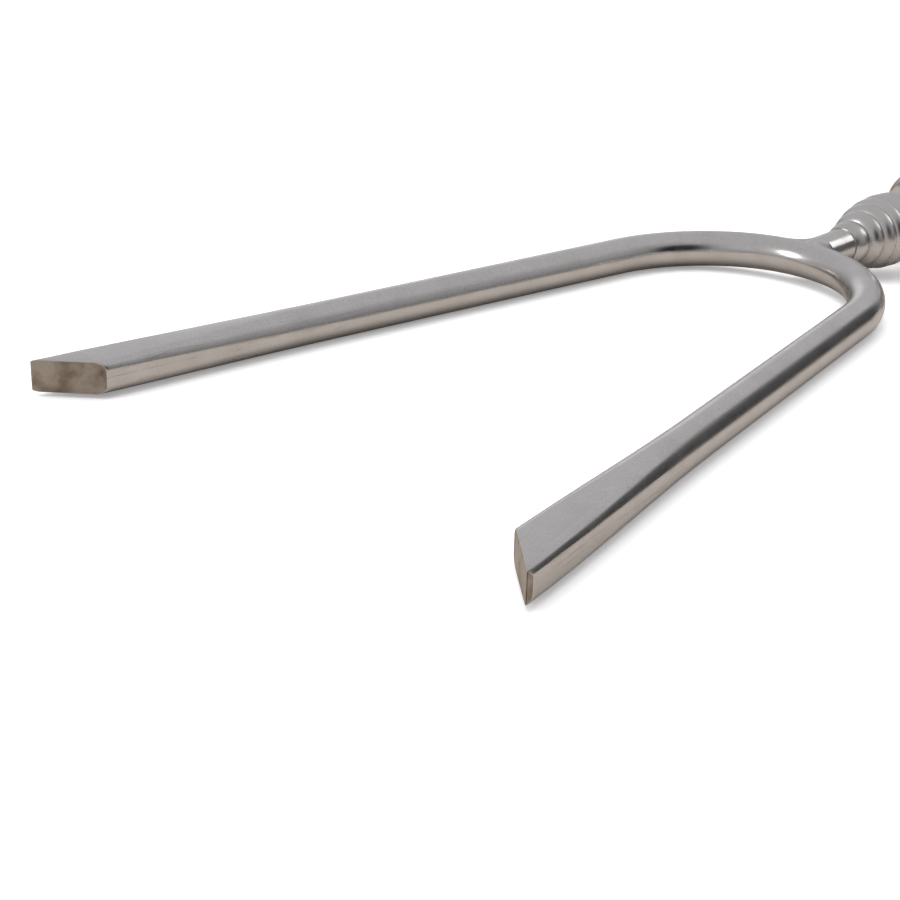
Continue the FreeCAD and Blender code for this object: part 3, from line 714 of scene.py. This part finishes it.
class DIVOT_OT_barrel(bpy.types.Operator):
    """Turn the swelling barrel of the handle, with its bands of grooves."""
    bl_idname = "divot.barrel"
    bl_label = "Handle Barrel"

    def execute(self, context):
        sizes = context.scene.divot_handle
        front, rear = BARREL_LOW.y, BARREL_HIGH.y
        last = rear - front - BARREL_CHAMFER
        grooves = [first * MM + number * sizes.band_pitch
                   for first, count in BANDS for number in range(count)]
        place = BARREL_CHAMFER
        profile = [(sizes.bush_bore, front), (barrel_radius(place, sizes) - BARREL_CHAMFER, front)]
        while place < last:
            groove = next((middle for middle in grooves if place < middle - BAND_HALF <= place + BARREL_STEP),
                          None)
            profile.append((barrel_radius(place, sizes), front + place))
            if groove is None:
                place += BARREL_STEP
                continue
            near, far = groove - BAND_HALF, groove + BAND_HALF
            start = (barrel_radius(near, sizes), front + near)
            profile.append(start)
            profile += arc(start, (barrel_radius(far, sizes), front + far), -BAND_DEPTH, BAND_STEPS)
            place = far + BAND_GAP
        profile += [(barrel_radius(last, sizes), rear - BARREL_CHAMFER),
                    (sizes.barrel_rear - BARREL_CHAMFER, rear), (sizes.nut_pocket, rear)]
        seat = rear - sizes.nut_pocket_depth
        bush_rear, bush_front = seat - sizes.bush_length, front + sizes.bush_length
        profile += [(sizes.nut_pocket, seat), (sizes.bush_bore, seat), (sizes.bush_bore, bush_rear),
                    (sizes.barrel_bore, bush_rear), (sizes.barrel_bore, bush_front),
                    (sizes.bush_bore, bush_front)]
        finish = turned_finish("Satin Turned Steel", context.scene.divot_finish)
        place_piece(turn_profile(profile, RADIAL_STEPS), "barrel", "handle_barrel", "tool",
                    [finish])
        return {"FINISHED"}


SPIGOT_CHAMFER = 0.25 * MM
NECK_LENGTH = 0.8 * MM
FLARE_HOLLOW = 1.95 * MM  # how far the flare's curve falls in from its chord
FINE_CHAMFER = 0.1 * MM
FLARE_STEPS = 40
RIM_STEPS = 8


class DIVOT_OT_butt(bpy.types.Operator):
    """Turn the flared butt cap with its seat for the marker."""
    bl_idname = "divot.butt"
    bl_label = "Butt Cap"

    def execute(self, context):
        sizes = context.scene.divot_handle
        rear, radius, rim = BUTT_HIGH.y, BUTT_HIGH.x, sizes.rim_round
        front = REAR_COLLAR_HIGH.y
        spigot = sizes.nut_pocket
        seat_floor = MAGNET_HIGH.y
        flare_end = (radius - rim, rear - sizes.butt_rim)
        flare_start = (sizes.butt_neck, front + NECK_LENGTH)
        spigot_end = front - sizes.spigot_length
        profile = [(0, spigot_end), (spigot - SPIGOT_CHAMFER, spigot_end),
                   (spigot, spigot_end + SPIGOT_CHAMFER), (spigot, front),
                   (sizes.butt_neck - FINE_CHAMFER, front), (sizes.butt_neck, front + FINE_CHAMFER),
                   flare_start]
        profile += arc(flare_start, flare_end, -FLARE_HOLLOW, FLARE_STEPS)
        profile += arc(flare_end, (radius, rear - sizes.butt_rim + rim), rim * EDGE_ROUND, RIM_STEPS)
        profile += [(radius, rear - rim)]
        profile += arc((radius, rear - rim), (radius - rim, rear), rim * EDGE_ROUND, RIM_STEPS)
        profile += [(sizes.seat_radius + FINE_CHAMFER, rear), (sizes.seat_radius, rear - FINE_CHAMFER),
                    (sizes.seat_radius, seat_floor), (MAGNET_HIGH.x, seat_floor),
                    (MAGNET_HIGH.x, MAGNET_LOW.y), (0, MAGNET_LOW.y)]
        finish = turned_finish("Turned Stainless Steel", context.scene.divot_finish)
        place_piece(turn_profile(profile, FINE_RADIAL_STEPS), "flared_butt", "butt_cap", "tool",
                    [finish])
        return {"FINISHED"}


MARKER_EDGE = 0.25 * MM
MARKER_EDGE_STEPS = 6
# The groove struck round the enamel: its edges' distances out from the inlay, its slopes' width, its depth.
GROOVE_OUTER, GROOVE_INNER, GROOVE_SLOPE, GROOVE_DEPTH = 0.55 * MM, 0.2 * MM, 0.1 * MM, 0.12 * MM
INLAY_LIP = 0.05 * MM
# The enamel: its depth under the marker's face at the rim and in the middle, and the bulge of its dome.
FILL_RIM, FILL_MIDDLE, FILL_BULGE = 0.15 * MM, 0.02 * MM, 0.06 * MM
FILL_STEPS = 24
# Each aiming line: its distance from the middle and half its length.
AIMING_LINES = ((-1.1 * MM, 3.4 * MM), (0, 5.6 * MM), (1.1 * MM, 3.4 * MM))
LINE_HEIGHT, LINE_WIDTH, LINE_SOFTENING = 0.2 * MM, 0.3 * MM, 0.04 * MM


class DIVOT_OT_marker(bpy.types.Operator):
    """Strike the ball marker, fill it with enamel and lay its aiming lines."""
    bl_idname = "divot.marker"
    bl_label = "Ball Marker"

    def execute(self, context):
        low, high = MARKER_LOW.y, MARKER_HIGH.y
        radius, inlay = MARKER_HIGH.x, INLAY_HIGH.x
        edge, bulge = MARKER_EDGE, MARKER_EDGE * EDGE_ROUND
        groove_floor = high - GROOVE_DEPTH
        profile = [(0, low), (radius - edge, low)]
        profile += arc((radius - edge, low), (radius, low + edge), bulge, MARKER_EDGE_STEPS)
        profile += [(radius, high - edge)]
        profile += arc((radius, high - edge), (radius - edge, high), bulge, MARKER_EDGE_STEPS)
        profile += [(inlay + GROOVE_OUTER, high), (inlay + GROOVE_OUTER - GROOVE_SLOPE, groove_floor),
                    (inlay + GROOVE_INNER + GROOVE_SLOPE, groove_floor), (inlay + GROOVE_INNER, high),
                    (inlay + INLAY_LIP, high), (inlay, high - INLAY_LIP), (inlay, INLAY_LOW.y),
                    (0, INLAY_LOW.y)]
        colours = context.scene.divot_finish
        polished = turned_finish("Polished Stainless Steel", colours)
        place_piece(turn_profile(profile, FINE_RADIAL_STEPS), "marker_coin", "ball_marker", "marker",
                    [polished])

        fill_edge = (inlay, high - FILL_RIM)
        dome = [(0, INLAY_LOW.y), (inlay, INLAY_LOW.y), fill_edge]
        dome += arc(fill_edge, (0, high - FILL_MIDDLE), FILL_BULGE, FILL_STEPS)
        place_piece(turn_profile(dome, FINE_RADIAL_STEPS), "enamel_fill", "marker_inlay", "marker",
                    [cured_enamel(colours)])

        bm = bmesh.new()
        for offset, half_length in AIMING_LINES:
            box = Matrix.Translation((0, high - LINE_HEIGHT / 2, offset)) @ Matrix.Diagonal(
                (2 * half_length, LINE_HEIGHT, LINE_WIDTH, 1))
            made = bmesh.ops.create_cube(bm, size=1, matrix=box)["verts"]
            edges = list({line for vert in made for line in vert.link_edges})
            bmesh.ops.bevel(bm, geom=edges, offset=LINE_SOFTENING, offset_type="OFFSET", segments=2,
                            profile=0.5, affect="EDGES", material=-1)
        place_piece(bm, "aiming_lines", None, "marker", [polished])
        return {"FINISHED"}


class DIVOT_OT_inner_parts(bpy.types.Operator):
    """Finish the pieces that the handle hides: bushes, washers, nut and magnet."""
    bl_idname = "divot.inner_parts"
    bl_label = "Inner Parts"

    def execute(self, context):
        colours = context.scene.divot_finish
        zinc = plated_steel("Zinc Plated Steel", colours.zinc, dull=0.25, grain=0.15)
        nickel = plated_steel("Nickel Plated Magnet", colours.nickel, dull=0.15, grain=0.4)
        nylon = moulded_nylon(colours)
        finishes = {"front_bush": nylon, "rear_bush": nylon, "stem_washer": zinc, "lock_washer": zinc,
                    "stem_nut": zinc, "magnet_disc": nickel}
        for name, finish in finishes.items():
            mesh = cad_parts[name].data
            mesh.materials.clear()
            mesh.materials.append(finish)
        return {"FINISHED"}


# ----------------------------------------------------------------------
# Studio
# ----------------------------------------------------------------------
def aim(item, target, roll=0.0):
    """Turn a light or a camera to look at a place."""
    facing = (target - item.location).to_track_quat("-Z", "Y").to_matrix().to_4x4()
    item.matrix_world = Matrix.Translation(item.location) @ facing @ Matrix.Rotation(roll, 4, "Z")


def add_softbox(name, direction, distance, width, height, brightness, in_reflections=True):
    """A soft area light, some way off in a direction from the crown, that looks as bright as given."""
    light = bpy.data.lights.new(name, "AREA")
    light.shape = "ELLIPSE"
    light.size, light.size_y = width, height
    light.energy = brightness * math.pi * width * height
    lamp = bpy.data.objects.new(name, light)
    bpy.context.scene.collection.objects.link(lamp)
    crown = Vector((0, CROWN_PLACE, 0))
    lamp.location = crown + Vector(direction).normalized() * distance
    aim(lamp, crown)
    lamp.visible_glossy = in_reflections
    lamp.visible_camera = False
    return lamp


# Parts of the room darker or lighter than the rest: direction, degrees from it where the change is full and
# where it ends, and the light there as a share of the rest.
ROOM_ZONES = (
    ((0.92, -0.15, 0.33), 9, 27, 0.03),
    ((0.90, 0.10, 0.20), 15, 50, 0.65),
    ((0.33, 0.92, 0.20), 12, 25, 0.16),
    ((-0.70, 0.70, 0.02), 6, 20, 1.9),
)


def studio_world():
    """A pale room, dimmer towards the horizon and to one side, which the steel reflects."""
    world = bpy.data.worlds.new("Studio")
    world.use_nodes = True
    tree = world.node_tree
    tree.nodes.clear()
    direction = add_node(tree, "ShaderNodeTexCoord").outputs["Generated"]
    split = add_node(tree, "ShaderNodeSeparateXYZ", {"Vector": direction})
    level = carried(tree, split.outputs["Z"], (-0.05, 0.40), (0.34, 0.66), interpolation_type="SMOOTHSTEP")
    for centre, near, far, share in ROOM_ZONES:
        towards = add_node(tree, "ShaderNodeVectorMath", {0: direction, 1: Vector(centre).normalized()},
                           operation="DOT_PRODUCT")
        reach = (math.cos(math.radians(far)), math.cos(math.radians(near)))
        shade = carried(tree, towards.outputs["Value"], reach, (1.0, share), interpolation_type="SMOOTHSTEP")
        level = reckoned(tree, "MULTIPLY", level, shade)
    background = add_node(tree, "ShaderNodeBackground",
                          {"Color": (0.985, 0.985, 1.0, 1.0), "Strength": level})
    output = add_node(tree, "ShaderNodeOutputWorld")
    tree.links.new(background.outputs["Background"], output.inputs["Surface"])
    return world


SHADOW_LIFT = 0.28  # light added to the paper as the camera sees it, so that shadows stay faint
# Painted reflection: the paper's colour as the steel sees it, greyer and warmer than the paper, standing in
# for the shaded paper under the tool.
PAINTED_PAPER_REFLECTION = "#CCC4BC"
# Painted shade on the paper's reflection: where it starts and stops darkening, in metres to the +X side, and
# how dark it gets.
SHADE_START, SHADE_END, SHADE_DEPTH = 0.02, 0.10, 0.8


def paper_floor(colour):
    """Matt white paper. Glossy rays see a painted reflection instead: greyer and warmer than the paper, and
    darkening with painted shade to one side.
    """
    finish, tree, shader = new_finish("White Paper Sweep", Roughness=0.9, Specular_IOR_Level=0.1,
                                      Emission_Color=opaque((1.0, 1.0, 1.0)))
    rays = add_node(tree, "ShaderNodeLightPath")
    place = add_node(tree, "ShaderNodeSeparateXYZ",
                     {"Vector": add_node(tree, "ShaderNodeTexCoord").outputs["Object"]})
    shade = carried(tree, place.outputs["X"], (SHADE_START, SHADE_END), (0.0, SHADE_DEPTH),
                    interpolation_type="SMOOTHSTEP")
    # Painted reflection and painted shade: glossy rays see greyer, warmer paper that fades to black to the +X
    # side.
    painted_reflection = mixed(tree, shade, opaque(linear(PAINTED_PAPER_REFLECTION)), opaque((0.0, 0.0, 0.0)))
    seen = mixed(tree, rays.outputs["Is Glossy Ray"], opaque(colour), painted_reflection)
    tree.links.new(seen, shader.inputs["Base Color"])
    lift = reckoned(tree, "MULTIPLY", rays.outputs["Is Camera Ray"], SHADOW_LIFT)
    tree.links.new(lift, shader.inputs["Emission Strength"])
    return finish


FLOOR_REACH = 4.0  # how far the paper goes each way, in metres
FLOOR_GAP = 0.02 * MM
FLOOR_FOLD = 3 * MM
RAMP_LEAD = 2 * MM  # how far before the crown the paper starts to slope


class DIVOT_OT_stage(bpy.types.Operator):
    """Set the lights, the camera and the paper floor, level under the fork and lower under the butt."""
    bl_idname = "divot.stage"
    bl_label = "Studio"

    def execute(self, context):
        scene = context.scene
        studio = scene.divot_studio
        top = Vector((0, CROWN_PLACE - RAMP_LEAD, -ROD_RADIUS - FLOOR_GAP))
        foot = Vector((0, REAR_COLLAR_HIGH.y, -BUTT_HIGH.x - FLOOR_GAP))
        level = Vector((0, FLOOR_REACH, 0))
        bm = bmesh.new()
        corners = [bm.verts.new(top - level + Vector((side * FLOOR_REACH, 0, 0))) for side in (-1, 1)]
        line = [bm.edges.new(corners)]
        for run in (level, foot - top, level):
            made = bmesh.ops.extrude_edge_only(bm, edges=line)["geom"]
            new_verts = [item for item in made if isinstance(item, bmesh.types.BMVert)]
            bmesh.ops.translate(bm, verts=new_verts, vec=run)
            line = [item for item in made if isinstance(item, bmesh.types.BMEdge)
                    and all(vert in new_verts for vert in item.verts)]
        folds = [item for item in bm.edges if len(item.link_faces) == 2]
        bmesh.ops.bevel(bm, geom=folds, offset=FLOOR_FOLD, offset_type="OFFSET", segments=8, profile=0.5,
                        affect="EDGES", material=-1)
        mesh = bpy.data.meshes.new("floor")
        bm.to_mesh(mesh)
        bm.free()
        mesh.materials.append(paper_floor(studio.floor))
        floor = bpy.data.objects.new("floor", mesh)
        scene.collection.objects.link(floor)

        scene.world = studio_world()
        add_softbox("front_softbox", (-0.38, -0.80, 0.46), distance=0.6, width=0.20, height=0.26,
                    brightness=4.5)
        rear = add_softbox("rear_softbox", (0.30, 0.836, 0.46), distance=0.6, width=0.24, height=0.24,
                           brightness=1.35)
        rear.light_linking.receiver_collection = bpy.data.collections.new(LIT_FROM_BEHIND)
        add_softbox("overhead", (-0.15, 0.1, 1.0), distance=0.7, width=0.9, height=0.9, brightness=1.6,
                    in_reflections=False)

        lens = bpy.data.cameras.new("camera")
        lens.lens = studio.lens
        lens.sensor_width = 36
        lens.clip_start, lens.clip_end = 0.002, 20
        camera = bpy.data.objects.new("camera", lens)
        scene.collection.objects.link(camera)
        camera.location = (studio.eye_x, CROWN_PLACE + studio.eye_y, studio.eye_z)
        aim(camera, Vector((studio.aim_x, CROWN_PLACE + studio.aim_y, 0)), studio.roll)
        scene.camera = camera
        scene.view_settings.view_transform = "Standard"
        scene.view_settings.look = "None"
        return {"FINISHED"}


class DIVOT_PT_panel(bpy.types.Panel):
    """Buttons for the tool's pieces."""
    bl_label = "Divot Repair Tool"
    bl_idname = "DIVOT_PT_panel"
    bl_space_type = "VIEW_3D"
    bl_region_type = "UI"
    bl_category = "Divot Tool"

    def draw(self, context):
        for operator in PIECES:
            self.layout.operator(operator.bl_idname)
        for setting in SETTINGS:
            group = getattr(context.scene, setting)
            box = self.layout.box()
            for name in group.bl_rna.properties.keys():
                if name not in {"rna_type", "name"}:
                    box.prop(group, name)


PIECES = (DIVOT_OT_stage, DIVOT_OT_fork, DIVOT_OT_stem, DIVOT_OT_ferrule, DIVOT_OT_collars, DIVOT_OT_barrel,
          DIVOT_OT_butt, DIVOT_OT_marker, DIVOT_OT_inner_parts)
SETTINGS = {"divot_fork": ForkSettings, "divot_handle": HandleSettings, "divot_finish": FinishSettings,
            "divot_studio": StudioSettings}


def register():
    for group in (*SETTINGS.values(), *PIECES, DIVOT_PT_panel):
        bpy.utils.register_class(group)
    for name, group in SETTINGS.items():
        setattr(bpy.types.Scene, name, bpy.props.PointerProperty(type=group))


def unregister():
    for name in SETTINGS:
        delattr(bpy.types.Scene, name)
    for group in (DIVOT_PT_panel, *reversed(PIECES), *reversed(SETTINGS.values())):
        bpy.utils.unregister_class(group)


def main():
    register()
    bpy.ops.divot.stage()
    bpy.ops.divot.fork()
    bpy.ops.divot.stem()
    bpy.ops.divot.ferrule()
    bpy.ops.divot.collars()
    bpy.ops.divot.barrel()
    bpy.ops.divot.butt()
    bpy.ops.divot.marker()
    bpy.ops.divot.inner_parts()


if __name__ == "__main__":
    main()
